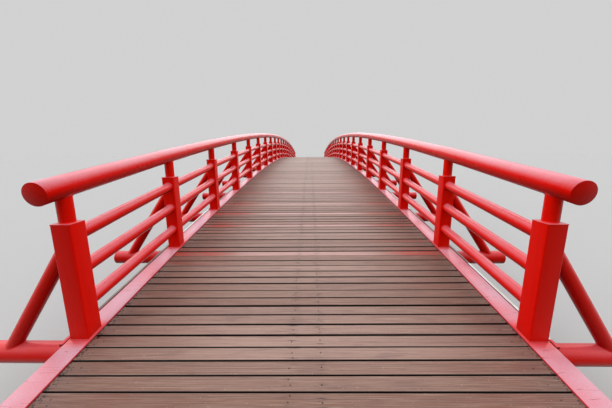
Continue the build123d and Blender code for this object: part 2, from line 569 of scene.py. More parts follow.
def make_weather_group():
    """Weathering in the object's own space.
    Fade: slow cloudy change. Streaks: noise drawn out downwards. Specks: the sharp peaks of a
    fine noise, kept to patches. Peel: the fine waviness of brushed enamel. Tops: how far a
    surface faces up, with a ragged edge. Mottle: fine unevenness. Up and Out: how far it faces
    up and away from the bridge's middle."""
    group, given = new_group("weather", "Specks")
    place = given["Place"]
    patches = span(noise(place, 5.0, 2.0), 0.50, 0.72)
    peaks = noise(place, 150.0, 2.0, 0.6)
    edge = 0.78 - patches * given["Specks"]
    fine = noise(place, 55.0, 2.0)
    aside, _, up = facing(group)
    return close_group(group, {
        "Fade": noise(place, 1.7, 4.0, 0.55),
        "Streaks": noise(place, (34.0, 34.0, 2.2), 3.0, 0.6),
        "Specks": maths("MULTIPLY", peaks - edge, 14.0, clamp=True),
        "Peel": fine * 0.35 + noise(place, 9.0, 1.0),
        "Tops": span(up + (fine - 0.5) * 0.16, 0.08, 0.90),
        "Mottle": span(peaks, 0.34, 0.66),
        "Up": up,
        "Out": aside * maths("SIGN", parts(place)[0])})


def make_scratch_group():
    """Thin scratches: two sets of stretched cells at angles, where only the narrow band at each
    cell's border shows, broken up by a slower noise."""
    group, given = new_group("scratches", "Amount")
    lines = []
    for turn, shift in ((0.55, 0.0), (-0.95, 7.3)):
        mapped = add(group, "Mapping", {"Vector": given["Place"], "Location": (shift, shift, shift),
                                        "Rotation": (0.0, 0.0, turn), "Scale": (2.2, 26.0, 6.0)})
        cells = add(group, "TexVoronoi", {"Vector": mapped, "Scale": 1.0}, "Distance",
                    feature="DISTANCE_TO_EDGE")
        thin = span(cells, 0.0, 0.035, 1.0, 0.0)
        lines.append(thin * span(noise(mapped, 0.9, 2.0), 0.60, 0.66))
    return close_group(group, {"Mask": maths("MAXIMUM", *lines) * given["Amount"]})


def make_grain_group():
    """Grain of a board, in the board's own place: metres along it, metres across it and a number
    of its own. Fine: noise drawn out along the board. Bands: wider figure that wanders across.
    Pores: short dark flecks. Blotches: broad uneven patches."""
    group, given = new_group("grain")
    place = given["Place"]
    along, across, number = parts(place)
    wander = noise(place, (0.9, 3.0, 17.0), 2.0)
    figure = add(group, "CombineXYZ", {"X": along * 0.7, "Y": (across + wander * 0.05) * 62.0,
                                       "Z": number * 31.0})
    return close_group(group, {
        "Fine": noise(place, (3.2, 260.0, 40.0), 4.0, 0.65),
        "Bands": noise(figure, 1.0, 3.0, 0.6),
        "Pores": span(noise(place, (5.0, 330.0, 13.0), 2.0), 0.62, 0.70),
        "Blotches": noise(place, (2.6, 9.0, 23.0), 3.0, 0.55)})


WEATHER = make_weather_group()
SCRATCHES = make_scratch_group()
GRAIN = make_grain_group()
ENAMEL = (0.80, 0.0036, 0.0006, 1.0)
ENAMEL_DEEP = (0.62, 0.0022, 0.0005, 1.0)
ENAMEL_WORN = (0.82, 0.0090, 0.0030, 1.0)
ENAMEL_SHADE = (0.16, 0.0006, 0.0003, 1.0)
GLOSS_TINT = (1.0, 0.10, 0.03, 1.0)
DULL_TINT = (0.45, 0.10, 0.05, 1.0)
# Pale pink that what faces up takes on: dust, and a painted reflection of the sky.
PALE_DUST_AND_SHEEN = (0.63, 0.52, 0.64, 1.0)
GRIME = rgb(74, 48, 40)
SCRATCHED = rgb(150, 60, 55)
# How far the painted reflection of a post reaches along the flange from its face.
POST_REFLECTION_REACH = 0.10


def make_enamel(name, streaks=0.25, specks=0.10, dust_and_sheen=0.3, scratches=0.0, feet=0.0,
                roughness=0.17, under=(0.0, 0.0, -1.0), outer=0.0, painted_post_reflection=0.0, inner=0.0,
                gloss=GLOSS_TINT):
    """Glossy red enamel over steel: clouded colour, streaks down its sides, specks of dirt, and
    on what faces up a pale, patchy cover of dust with fine scratches, which is also a painted
    reflection of the sky. Feet is how dirty posts are just over the girder, where splashes dry.
    Under is how far painted shade darkens what faces down, and the two slopes between which that
    sets in; outer is the same painted shade for outward sides. The post reflection amount thins
    the pale cover close to the posts, as a painted reflection of the red posts, and inner is how
    far a painted highlight covers edges that face the walkway."""
    finish, shader, place = new_finish(name)
    weather = use_group(WEATHER, place, Specks=specks)
    fade = weather["Fade"]
    # Painted shade: darker where the surface faces down, and on sides that face outwards.
    below, below_from, below_to = under
    darkened = span(weather["Up"], below_from, below_to, 0.0, below)
    painted_outward_shade = span(weather["Out"], 0.0, 0.85, 0.0, outer)
    # A pale cover on what faces up: dust, and a painted sky reflection, thinned in patches.
    patchy = span(fade, 0.36, 0.66, 0.74 * dust_and_sheen, 1.12 * dust_and_sheen)
    patchy = patchy * span(weather["Mottle"], 0.0, 1.0, 0.86, 1.08)
    # Painted reflection of the red posts: the pale cover gives way close to them.
    if painted_post_reflection:
        close = maths("PINGPONG", parts(place)[1], BAY / 2)
        clean = span(close, POST_WIDTH / 2, POST_WIDTH / 2 + POST_REFLECTION_REACH, painted_post_reflection, 0.0)
        patchy = patchy * (1.0 - clean)
    dust_and_sheen_cover = maths("MULTIPLY", weather["Tops"], patchy, clamp=True)
    # Painted highlight: pale on edges that face the walkway.
    if inner:
        dust_and_sheen_cover = maths("MAXIMUM", dust_and_sheen_cover, span(weather["Out"], -0.5, -0.95, 0.0, inner))
    lines = use_group(SCRATCHES, place, Amount=scratches)["Mask"]
    colour = layered(blend(span(fade, 0.30, 0.72) * 0.30, ENAMEL, ENAMEL_WORN),
                     (span(weather["Streaks"], 0.50, 0.78) * streaks, ENAMEL_DEEP),
                     (maths("MAXIMUM", darkened, painted_outward_shade), ENAMEL_SHADE),
                     (dust_and_sheen_cover, PALE_DUST_AND_SHEEN),
                     (weather["Specks"], GRIME),
                     (lines, SCRATCHED))
    if feet:
        ragged = attribute(place.tree, "rise") - weather["Streaks"] * 0.16
        colour = blend(span(ragged, -0.10, 0.02, feet, 0.0), colour, GRIME)
    rough = fade * 0.10 + roughness + weather["Specks"] * 0.45 + dust_and_sheen_cover * 0.15
    set_shader(shader, Base_Color=colour, Roughness=maths("ADD", rough, lines * 0.30, clamp=True),
               IOR=1.45, Specular_Tint=gloss, Normal=bump(weather["Peel"], 0.06, 0.004))
    return finish


def make_board_finish():
    """Stained deck boards: each board's own tone, grain along it, redder and darker towards its
    ends, pale pink and red overspray on some, pale flecks, rust along the screws, a painted
    highlight along the arrises, painted shade on the sides down in the gaps, darkening beside the
    flanges that is part painted shade and part dirt, and dirt at the ends and round the screws."""
    finish, shader, place = new_finish("deck_boards")
    spot = attribute(place.tree, "board_place", "Vector")
    tone = attribute(place.tree, "board_tone")
    stain, off_middle, depth = parts(attribute(place.tree, "board_edge", "Vector"))
    grain = use_group(GRAIN, spot)
    reach = maths("ABSOLUTE", parts(place)[0])
    clouds = noise(place, 1.1, 4.0, 0.6)
    ends = span(reach + clouds, 1.0, 2.1)
    # Darker beside the flanges: part painted shade, part dirt.
    darkened = span(reach + clouds * 0.4, 1.45, 1.85)
    spray_noise = noise(spot, (3.0, 40.0, 9.0), 4.0, 0.7)
    blush = span(tone, -0.1, -0.9, 0.0, 0.60) * span(reach, 0.60, 1.20, 1.0, 0.15)
    blush = blush * span(spray_noise, 0.30, 0.62, 0.45, 1.0)
    spray = stain * span(spray_noise, 0.28, 0.60)
    flecks = span(noise(place, (60.0, 90.0, 60.0), 2.0, 0.6), 0.70, 0.74)
    off_joist = maths("ABSOLUTE", reach - JOIST_LINES["centre"])
    run = noise(spot, (7.0, 150.0, 19.0), 2.0)
    rust = span(off_joist, 0.0, 0.07, 1.0, 0.0) * span(run, 0.55, 0.67)
    # Painted highlight along each board's top edges.
    painted_arris_highlight = span(off_middle, 0.0430, 0.0490)
    crumbs = outputs(new_node(place.tree, "TexVoronoi",
                              {"Vector": stretch(place, (1.0, 1.3, 1.0)), "Scale": 50.0}))
    size = noise(crumbs["Position"], 0.35, 1.0) * 0.9 + span(reach, 1.480, 1.592, -0.60, 0.0)
    litter = span(size - crumbs["Distance"], 0.0, 0.09)
    up = facing(place.tree)[2]
    # Painted shade on the boards' sides, down in the gaps.
    sides = span(depth, 0.0006, 0.0020) * span(up, -0.9, -0.5)
    colour = layered(blend(tone, rgb(161, 128, 116), rgb(120, 82, 66)),
                     (ends * 0.62, rgb(110, 64, 49)),
                     (darkened * 0.55, rgb(82, 56, 48)),
                     (span(grain["Bands"], 0.38, 0.68, 0.0, 0.50), rgb(104, 72, 65)),
                     (span(grain["Fine"], 0.42, 0.70, 0.0, 0.48), rgb(177, 150, 136)),
                     (span(grain["Blotches"], 0.52, 0.74, 0.0, 0.42), rgb(108, 82, 75)),
                     (grain["Pores"] * 0.6, rgb(66, 40, 36)),
                     (blush, rgb(204, 160, 156)),
                     (spray * 0.82, rgb(182, 66, 52)),
                     (flecks * 0.5, rgb(205, 186, 170)),
                     (rust * 0.8, rgb(40, 27, 25)),
                     (painted_arris_highlight * 0.15, rgb(206, 182, 168)),
                     (litter * 0.92, rgb(30, 23, 20)),
                     (sides, rgb(20, 14, 12)))
    relief = grain["Fine"] + grain["Bands"] * 0.6 - grain["Pores"] * 0.8
    set_shader(shader, Base_Color=colour, Roughness=grain["Fine"] * 0.24 + 0.40, IOR=1.45,
               Normal=bump(relief, 0.35, 0.0016))
    return finish


def make_concrete():
    """Cast concrete: cloudy greys, marks of the shutter boards, pits and a damp foot."""
    finish, shader, place = new_finish("concrete")
    clouds = noise(place, 2.3, 5.0, 0.6)
    height = parts(place)[2]
    seams = span(maths("PINGPONG", height, 0.075), 0.0, 0.004, 1.0, 0.0)
    pits = span(noise(place, 42.0, 2.0), 0.70, 0.76)
    darkened = span(height + clouds * 0.16, 0.10, 0.26, 1.0, 0.0)
    colour = layered(blend(span(clouds, 0.3, 0.7), rgb(150, 147, 140), rgb(188, 184, 175)),
                     (seams * 0.5, rgb(112, 108, 102)),
                     (pits, rgb(86, 83, 78)),
                     (darkened * 0.55, rgb(98, 94, 82)))
    relief = noise(place, 180.0, 3.0, 0.6) - (seams + pits)
    set_shader(shader, Base_Color=colour, Roughness=span(clouds, 0.2, 0.8, 0.72, 0.92),
               Normal=bump(relief, 0.5, 0.002))
    return finish


def make_dark_steel(name, colour, worn, roughness):
    """Dull dark steel with a film of rust in clouds and specks."""
    finish, shader, place = new_finish(name)
    weather = use_group(WEATHER, place, Specks=0.16)
    colour = layered(blend(span(weather["Fade"], 0.40, 0.70), colour, worn),
                     (weather["Specks"], rgb(96, 50, 32)))
    set_shader(shader, Base_Color=colour, Metallic=0.55, Normal=bump(weather["Peel"], 0.2, 0.003),
               Roughness=span(weather["Peel"], 0.4, 0.9, roughness, roughness + 0.2))
    return finish


def make_lid_finish(name, clean, old, dirt):
    """A light bar's plastic lid: dust, faint yellowing, and dirt in cloudy stretches."""
    finish, shader, place = new_finish(name)
    weather = use_group(WEATHER, place, Specks=0.16)
    colour = layered(blend(span(weather["Fade"], 0.35, 0.7), clean, old),
                     (span(weather["Peel"], 0.55, 0.85) * dirt, rgb(92, 70, 62)),
                     (weather["Specks"], rgb(112, 100, 90)))
    set_shader(shader, Base_Color=colour, Roughness=span(weather["Fade"], 0.2, 0.8, 0.25, 0.42),
               Subsurface_Weight=0.10)
    return finish


# Each enamel's pale cover on what faces up is dust and a painted sky reflection; under and outer set
# painted shade on what faces down and on outward sides.
HANDRAIL_RED = make_enamel("handrail_enamel", dust_and_sheen=0.48, specks=0.08, roughness=0.22,
                           under=(0.7, 0.3, -0.8), gloss=DULL_TINT)
RAIL_RED = make_enamel("rail_enamel", dust_and_sheen=0.29, under=(0.75, 0.2, -0.7))
TUBE_RED = make_enamel("tube_enamel", dust_and_sheen=0.18, under=(0.6, 0.0, -0.9))
BRACE_RED = make_enamel("brace_enamel", dust_and_sheen=0.12, under=(0.90, 0.12, -0.80))
STUB_RED = make_enamel("stub_enamel", dust_and_sheen=0.17, outer=0.92)
POST_RED = make_enamel("post_enamel", streaks=0.40, specks=0.12, feet=0.18, roughness=0.20)
# The flange's cover gives way by the posts as their painted reflection, and inner paints a highlight
# on its edge to the walkway.
FLANGE_RED = make_enamel("flange_enamel", specks=0.20, dust_and_sheen=0.65, scratches=0.6, painted_post_reflection=0.75,
                         inner=0.13)
UNDER_RED = make_enamel("under_enamel", streaks=0.5, specks=0.2, dust_and_sheen=0.2, roughness=0.38)
# The channel's sides get painted shade, dark as the gap beside the flange.
CHANNEL = make_enamel("channel_enamel", streaks=0.5, specks=0.2, dust_and_sheen=0.15, roughness=0.30,
                      under=(0.95, 0.6, -0.05))
BOARDS = make_board_finish()
CONCRETE = make_concrete()
BEARING = make_dark_steel("bearing_steel", rgb(52, 52, 54), rgb(78, 66, 58), 0.45)
SCREW = make_dark_steel("screw_steel", rgb(40, 30, 28), rgb(62, 44, 38), 0.50)
MILKY_LID = make_lid_finish("milky_lid", rgb(232, 244, 246), rgb(236, 238, 230), 0.12)
DIRTY_LID = make_lid_finish("dirty_lid", rgb(128, 112, 108), rgb(96, 74, 70), 0.80)


# The pieces

def deck_skew(x, y):
    """How far the boards run out of square: the shift along Y grows evenly with X, and is eased
    away at the deck's ends, where the boards are cut to fit."""
    ease = np.clip((END_Y - np.abs(y)) / SKEW_EASE, 0, 1)
    return BOARD_SKEW * x * ease**2 * (3 - 2 * ease)


def board_profile(low, high):
    """Across each board, from its lower to its higher edge and back underneath: how far each
    point lies from the board's middle, one row a board, and its height. The top is a row of
    shallow V grooves between eased arrises."""
    centres = np.linspace(-1, 1, 2 * GROOVES + 1)[1::2]
    sides = np.tile([-0.5, 0.0, 0.5], GROOVES) * GROOVE_WIDTH
    wide, middle = (high - low)[:, None], ((high + low) / 2)[:, None]
    grooved = (wide / 2 - GROOVE_MARGIN) * GROOVED_SHARE
    low, high = low[:, None], high[:, None]
    across = np.concatenate([low, low + ARRIS, middle + np.repeat(centres, 3) * grooved + sides,
                             high - ARRIS, high, high, low], 1)
    dips = np.tile([0.0, -GROOVE_DEPTH, 0.0], GROOVES)
    up = np.concatenate([[-ARRIS, 0.0], dips, [0.0, -ARRIS, -BOARD_THICKNESS, -BOARD_THICKNESS]])
    return across, up


def board_stains(x, middles, section):
    """How red each board is along its length: by chance at both ends of some, less where feet
    wear it off near the deck's ends, and as they are listed for the boards that stand out."""
    unworn = np.clip((END_Y - np.abs(middles)) / WORN_REACH - WORN_LEFT, WORN_LEFT, 1)
    reddened = STAIN_MOST * unworn[:, None] * chance.uniform(0, 1, (len(x), 2)) ** 2.5
    share = np.clip((np.abs(x) - STAIN_FROM) / STAIN_RISE, 0, 1)
    stain = np.where(x < 0, reddened[:, :1], reddened[:, 1:]) * share
    for board, (left, middle, right) in STAINED_BOARDS.items():
        if board // BOARDS_IN_SECTION == section:
            row = board % BOARDS_IN_SECTION
            stain[row] = np.interp(x[row], STAIN_PLACES, (left, middle, middle, right))
    return stain


def make_boards(section):
    """The boards of one deck section: each one's profile carried along X, a little uneven in
    width, level and length, tilted and sagging by chance, and run out of square as one.
    Returns where the boards' middles lie and how the deck slopes there."""
    count = BOARDS_IN_SECTION
    half_turn = np.arcsin(END_Y / DECK_RADIUS)
    turns = np.linspace(-half_turn, half_turn, DECK_SECTIONS * count + 1)
    edges = DECK_RADIUS * np.sin(turns[section * count:(section + 1) * count + 1])
    middles = (edges[1:] + edges[:-1]) / 2
    slopes = -middles / np.sqrt(DECK_RADIUS**2 - middles**2)
    pitch = np.diff(edges) * np.sqrt(1 + slopes**2)
    gaps = chance.uniform(*GAP_SHARES, count + 1) * BOARD_GAP
    for gap, share in ODD_GAPS.items():
        if gap // count == section:
            gaps[gap % count] = share * BOARD_GAP
    gaps[[0, -1]] = BOARD_GAP
    across, up = board_profile(-pitch / 2 + gaps[:-1] / 2, pitch / 2 - gaps[1:] / 2)
    across = across[:, None, :]
    lengths = np.linspace(-1, 1, BOARD_RINGS)
    ends = BOARD_END - chance.uniform(0, END_STRAY, (count, 2))
    x = np.where(lengths < 0, lengths * ends[:, :1], lengths * ends[:, 1:])
    sag = -chance.uniform(0, BOARD_SAG, (count, 1)) * (1 - lengths**2)
    sag = (sag - chance.uniform(0, BOARD_SINK, (count, 1)))[:, :, None]
    tilt = chance.uniform(-BOARD_TILT, BOARD_TILT, (count, 1))[:, :, None]
    stray = chance.uniform(-BOARD_STRAY, BOARD_STRAY, (count, 1, 1))
    numbers = chance.uniform(0, 1, count)[:, None, None]
    stain = board_stains(x, middles, section)[:, :, None]
    tones = chance.uniform(0, 1, count)
    tones[[board % count for board in BLUSHED_BOARDS if board // count == section]] = -1.0
    rings = np.zeros((count, len(lengths), across.shape[2], 3))
    drop = up + sag - np.abs(tilt) * HALF_BOARD + tilt * across
    rings[..., 0] = x[:, :, None]
    rings[..., 1] = middles[:, None, None] + across
    shift = deck_skew(rings[..., 0], rings[..., 1]) + stray * rings[..., 0]
    rings[..., 1] += shift
    line = deck_line(middles) - BOARD_DROP
    rings[..., 2] = line[:, None, None] + slopes[:, None, None] * (across + shift) + drop
    shape = rings.shape[:3]
    place, edge = (
        np.stack([np.broadcast_to(part, shape) for part in three], -1).reshape(-1, 3)
        for three in ((x[:, :, None] + GRAIN_SHIFT * numbers, across, numbers),
                      (stain, np.abs(across), -up)))
    tone = np.broadcast_to(tones[:, None, None], shape).ravel()
    make_piece(f"boards_{section + 1}", skin(rings), BOARDS,
               f"deck_section_{section + 1}", smooth=28.0,
               marks={"board_place": place, "board_tone": tone, "board_edge": edge})
    return middles, slopes


def make_screws(middles, slopes):
    """Dark screw heads, mostly one in each board over each joist and now and then a second: a
    low dome with a recess. They stray a little from the joist's line and the board's middle."""
    head = skin(turned(np.array(SCREW_PROFILE) * [SCREW_RADIUS, 1.0], SCREW_SIDES))
    size = (len(middles), len(SCREW_LINES), 2)
    stray_x, stray_y = SCREW_STRAY
    x = np.array(SCREW_LINES)[None, :, None] + chance.uniform(-stray_x, stray_x, size)
    off = chance.uniform(-stray_y, stray_y, size)
    off[..., 1] = np.where(off[..., 0] < 0, SECOND_SCREW, -SECOND_SCREW) + off[..., 1] / 2
    y = middles[:, None, None] + off
    shift = deck_skew(x, y)
    board_top = (deck_line(middles) - BOARD_DROP)[:, None, None]
    z = board_top - SCREW_SINK + slopes[:, None, None] * (off + shift)
    places = np.stack([x, y + shift, z], -1)
    kept = chance.uniform(0, 1, size) < np.array(SCREW_ODDS)
    make_piece("deck_screws", placed(head, places[kept]), SCREW)


def make_girder(name, side):
    """A welded I-girder: an outline of two flanges with eased edges and a web with fillets,
    carried along the deck line, with plates each side of the web over the bearings."""
    half, web = FLANGE_WIDTH / 2, WEB_THICKNESS / 2
    thick, ease = FLANGE_THICKNESS, FLANGE_EDGE
    turn = np.linspace(0, np.pi / 2, 4)
    fillet = WEB_FILLET * np.stack([np.sin(turn), 1 - np.cos(turn)], -1)
    upper = np.concatenate([[[half - ease, 0.0], [half - ease * 0.3, -ease * 0.3], [half, -ease],
                             [half, -thick + ease], [half - ease, -thick]],
                            [web + WEB_FILLET, -thick] - fillet])
    right = np.concatenate([upper, upper[::-1] * [1, -1] - [0, GIRDER_DEPTH]])
    outline = np.concatenate([right, right[::-1] * [-1, 1]])
    ys = np.sort(np.concatenate([STATIONS, POST_ROWS[:-1] + BAY / 2]))
    shapes = [skin(along_deck(outline, side * GIRDER_X, ys))]
    wide = half - web - STIFFENER_BACK
    plate = rounded_box(wide, GIRDER_DEPTH - 2 * thick, STIFFENER_CORNER, 2)
    for end in (-1, 1):
        ys = end * (END_Y - BEARING_INSET) + np.array([-0.5, 0.5]) * STIFFENER
        for way in (-1, 1):
            x = side * GIRDER_X + way * (web + wide / 2)
            shapes.append(skin(along_deck(plate, x, ys, -GIRDER_DEPTH / 2)))
    make_piece(f"{name}_girder_steel", joined(*shapes), FLANGE_RED, f"{name}_girder")


def upright_rings(outline, side, heights):
    """Rings of a level outline at each post, at these heights over the girder."""
    rings = np.zeros((len(POST_ROWS), len(heights), len(outline), 3))
    rings[..., 0] = side * GIRDER_X + outline[:, 0]
    rings[..., 1] = POST_ROWS[:, None, None] + outline[:, 1]
    rings[..., 2] = arch(POST_ROWS)[:, None, None] + np.reshape(heights, (-1, 1))
    return rings


def make_posts(name, side):
    """Square posts of rolled tube with round corners, feet cut to the girder, and cap plates with
    sharp corners that stand a little proud. The foot's weld runs round it in a rippled bead."""
    outline = rounded_box(POST_WIDTH, POST_WIDTH, POST_CORNER, 5)
    body = upright_rings(outline, side, [*POST_RINGS, POST_HEIGHT - CAP_THICKNESS])
    body[:, 0, :, 2] = deck_line(body[:, 0, :, 1]) - POST_SINK
    wide = POST_WIDTH + 2 * CAP_OVERHANG
    cap = upright_rings(rounded_box(wide, wide, CAP_CORNER, 3), side,
                        POST_HEIGHT - CAP_THICKNESS * np.array(CAP_RINGS))
    middle = np.stack([np.full(len(POST_ROWS), side * GIRDER_X), POST_ROWS], -1)[:, None]
    for ring in (0, -1):
        cap[:, ring, :, :2] = middle + (cap[:, ring, :, :2] - middle) * CAP_EASE
    foot = rounded_box(POST_WIDTH, POST_WIDTH, POST_CORNER, 3)
    steps = np.linspace(0, 1, 4, endpoint=False)[:, None]
    path = (foot[:, None] * (1 - steps) + np.roll(foot, -1, 0)[:, None] * steps).reshape(-1, 2)
    curve = upright_rings(path, side, [0.0])[:, 0]
    curve[..., 2] = deck_line(curve[..., 1]) + BEAD_RISE
    shape = joined(skin(body), skin(cap), bead_round(curve, level(path), FOOT_BEAD))
    rise = shape[0][:, 2] - deck_line(shape[0][:, 1])
    make_piece(f"{name}_post_steel", shape, POST_RED, f"{name}_posts",
               marks={"rise": rise})


def make_stubs(name, side):
    """Round stubs between post and handrail, each top cut to the handrail's round underside:
    at an offset x from the middle it lies at the axis less the root of radius² - x²."""
    ring = circle(STUB_RADIUS, RING_SIDES)
    stubs = upright_rings(ring, side, STUB_RINGS)
    top = stubs[:, -1]
    off = top[..., 0] - side * GIRDER_X
    top[..., 2] = deck_line(top[..., 1]) + HANDRAIL_HEIGHT - np.sqrt(HANDRAIL_RADIUS**2 - off**2)
    foot = stubs[:, 0] + [0, 0, BEAD_RISE]
    beads = [bead_round(curve, level(ring)) for curve in (foot, top)]
    make_piece(f"{name}_stub_tubes", joined(skin(stubs), *beads), STUB_RED,
               f"{name}_post_stubs")


def make_handrail(name, side):
    """The big tube that follows the deck line, closed by a flat disc at each end with an eased
    rim. The last rings lean with the slope there, so that the disc is square to the tube."""
    ease = HANDRAIL_EASE * np.array([0.0, 0.3, 1.0])
    inner = POST_ROWS[np.abs(POST_ROWS) < HANDRAIL_END]
    ys = np.concatenate([ease - HANDRAIL_END, inner, HANDRAIL_END - ease[::-1]])
    rim = 1 - ease[::-1] / HANDRAIL_RADIUS
    scales = np.concatenate([rim, np.ones(len(inner)), rim[::-1]])
    rings = along_deck(circle(HANDRAIL_RADIUS, HANDRAIL_SIDES), side * GIRDER_X, ys,
                       HANDRAIL_HEIGHT, scales)
    slope = (deck_line(POST_ROWS[-1]) - deck_line(END_Y)) / (END_Y - POST_ROWS[-1])
    for last, way in ((slice(0, 3), -1), (slice(-3, None), 1)):
        rise = rings[:, last, :, 2] - (deck_line(ys[last]) + HANDRAIL_HEIGHT)[:, None]
        rings[:, last, :, 1] += way * slope * (rise - HANDRAIL_RADIUS)
        rings[:, last, :, 2] -= slope**2 * (rise - HANDRAIL_RADIUS)
    make_piece(f"{name}_handrail_tube", skin(rings), HANDRAIL_RED,
               f"{name}_handrail")


def make_rails(name, side):
    """Straight tubes from post to post in three rows, each with a weld round both ends."""
    half = POST_WIDTH / 2
    ends = np.stack([POST_ROWS[:-1] + half, POST_ROWS[1:] - half], -1)
    for row, height in RAIL_HEIGHTS.items():
        tubes, welds = (along_deck(circle(RAIL_RADIUS, sides), side * GIRDER_X, ends, height)
                        for sides in (TUBE_SIDES, WELD_SIDES))
        curves = welds.reshape(-1, WELD_SIDES, 3)
        bead = bead_round(curves, curves - curves.mean(1, keepdims=True))
        make_piece(f"{name}_{row}_rail_tubes", joined(skin(tubes), bead), RAIL_RED,
                   f"{name}_{row}_rails")


def make_outriggers(name, side):
    """Level tubes from the girder's web outwards, with a weld round the inner end. The outer end
    is closed by a disc with an eased rim, and a shallow seam runs round the tube beside it."""
    start, end, ease = GIRDER_X + WEB_THICKNESS / 2, OUTRIGGER_END, OUTRIGGER_EASE
    back = np.array([end - start, *SEAM_BACK, ease, 0.3 * ease, 0.0])
    inward = np.array([0, 0, SEAM_DEPTH, SEAM_DEPTH, 0, 0, 0.3 * ease, ease])
    tube = skin(level_bar(end - back, circle(1.0, OUTRIGGER_SIDES), BEAM_RADIUS - inward))
    curve = np.insert(circle(BEAM_RADIUS, RING_SIDES), 0, start, axis=1)[None]
    shape = joined(tube, bead_round(curve, curve - [start, 0, 0]))
    make_piece(f"{name}_outrigger_tubes", at_posts(on_side(shape, side), BEAM_DROP),
               TUBE_RED, f"{name}_outriggers")


def make_braces(name, side):
    """Raking tubes. Each line along the tube's side runs from where it leaves the outrigger,
    on that tube's circle, to where it meets the plane of the post's face."""
    foot = np.array([BRACE_FOOT, -BEAM_DROP])
    head = np.array([GIRDER_X + POST_WIDTH / 2, BRACE_HEAD])
    lean = (head - foot) / np.linalg.norm(head - foot)
    square = np.array([-lean[1], lean[0]])
    ring = circle(BRACE_RADIUS, TUBE_SIDES)
    over = ring[:, 1:] * square
    high = (head[0] - foot[0] - over[:, 0]) / lean[0]
    low = (np.sqrt(BEAM_RADIUS**2 - ring[:, 0]**2) - over[:, 1]) / lean[1]
    steps = np.array(BRACE_RINGS)[:, None]
    along = (low * (1 - steps) + high * steps)[..., None] * lean
    rings, axis = (np.insert(flat, 1, sideways, axis=-1)
                   for flat, sideways in ((foot + over + along, ring[:, 0]), (foot + along, 0.0)))
    beads = [bead_round(rings[None, k], rings[k] - axis[k]) for k in (0, -1)]
    shape = joined(skin(rings[None]), *beads)
    make_piece(f"{name}_brace_tubes", at_posts(on_side(shape, side)), BRACE_RED,
               f"{name}_braces")


def make_floor_beams():
    """Tubes from web to web under the joists, with a weld round each end."""
    reach = GIRDER_X - WEB_THICKNESS / 2
    tube, welds = (level_bar((-reach, reach), circle(BEAM_RADIUS, sides))
                   for sides in (TUBE_SIDES, WELD_SIDES))
    shape = joined(skin(tube), bead_round(welds[0], welds[0] * [0, 1, 1]))
    make_piece("floor_beam_tubes", at_posts(shape, BEAM_DROP), UNDER_RED, "floor_beams")


def make_joists(name, side):
    """Box joists under the boards, one length for each deck section, with gaps between them."""
    outline = rounded_box(JOIST_WIDTH, JOIST_DEPTH, JOIST_CORNER)
    depth = BOARD_DROP + BOARD_THICKNESS + JOIST_DEPTH / 2
    edges = np.linspace(-END_Y, END_Y, DECK_SECTIONS + 1)
    spans = np.stack([edges[:-1] + SECTION_GAP / 2, edges[1:] - SECTION_GAP / 2], -1)
    for row, x in JOIST_LINES.items():
        make_piece(f"{name}_{row}_joist_bars", bars(outline, side * x, spans, -depth),
                   UNDER_RED, f"{name}_{row}_joists")


def make_light_bars(name, side):
    """Red channels along the flange, held by clips. Each has lids let into its top: a milky one
    over its lit length, and dark ones with dirt over what is left of it at either side."""
    channels, milky, dirty = [], [], []
    for first in range(0, BAYS, BAYS_PER_LIGHT):
        last = first + BAYS_PER_LIGHT
        start = POST_ROWS[first] + LIGHT_JOINT / 2 if first else POST_ROWS[0] - LIGHT_OVERRUN
        end = POST_ROWS[last] - LIGHT_JOINT / 2 if last < BAYS else POST_ROWS[-1] + LIGHT_OVERRUN
        lit_from, lit_to = POST_ROWS[first] + np.array(LIT_LENGTH[name])
        inset = LID_INSET if first else LIGHT_OVERRUN
        channels.append((start, end))
        milky.append((lit_from, lit_to))
        dirty += [(start + inset, lit_from - LID_JOINT), (lit_to + LID_JOINT, end - LID_INSET)]
    depth = LIGHT_DEPTH - LID_PROUD
    channel = bars(rounded_box(LIGHT_WIDTH, depth, LIGHT_CORNER, 2), side * LIGHT_X, channels,
                   -LIGHT_DROP - LID_PROUD - depth / 2)
    centre = POST_ROWS[:-1] + BAY / 2
    ys = np.stack([centre - CLIP_LENGTH / 2, centre + CLIP_LENGTH / 2], -1)
    clips = along_deck(rounded_box(CLIP_WIDTH, CLIP_THICKNESS, CLIP_CORNER, 1),
                       side * (GIRDER_X + (FLANGE_WIDTH + CLIP_WIDTH) / 2), ys,
                       -LIGHT_DROP - LIGHT_DEPTH / 2)
    make_piece(f"{name}_light_channels", joined(channel, skin(clips)), CHANNEL,
               f"{name}_light_bars")
    lid = rounded_box(LID_WIDTH, LID_THICKNESS, LID_CORNER)
    for kind, spans, finish in (("milky", milky, MILKY_LID), ("dirty", dirty, DIRTY_LID)):
        lids = bars(lid, side * LIGHT_X, spans, -LIGHT_DROP - LID_THICKNESS / 2)
        make_piece(f"{name}_{kind}_lids", lids, finish)


def make_end_beam(name, end):
    """A box beam between the girders at the end of the joists."""
    beam = rounded_box(2 * GIRDER_X - WEB_THICKNESS, END_BEAM_DEPTH, END_BEAM_CORNER)
    drop = BOARD_DROP + BOARD_THICKNESS + JOIST_DEPTH + END_BEAM_GAP + END_BEAM_DEPTH / 2
    ys = np.sort(end * np.array([END_Y, END_Y - END_BEAM_WIDTH]))
    make_piece(f"{name}_end_beam_steel", skin(along_deck(beam, 0.0, ys, -drop)),
               UNDER_RED, f"{name}_end_beam")


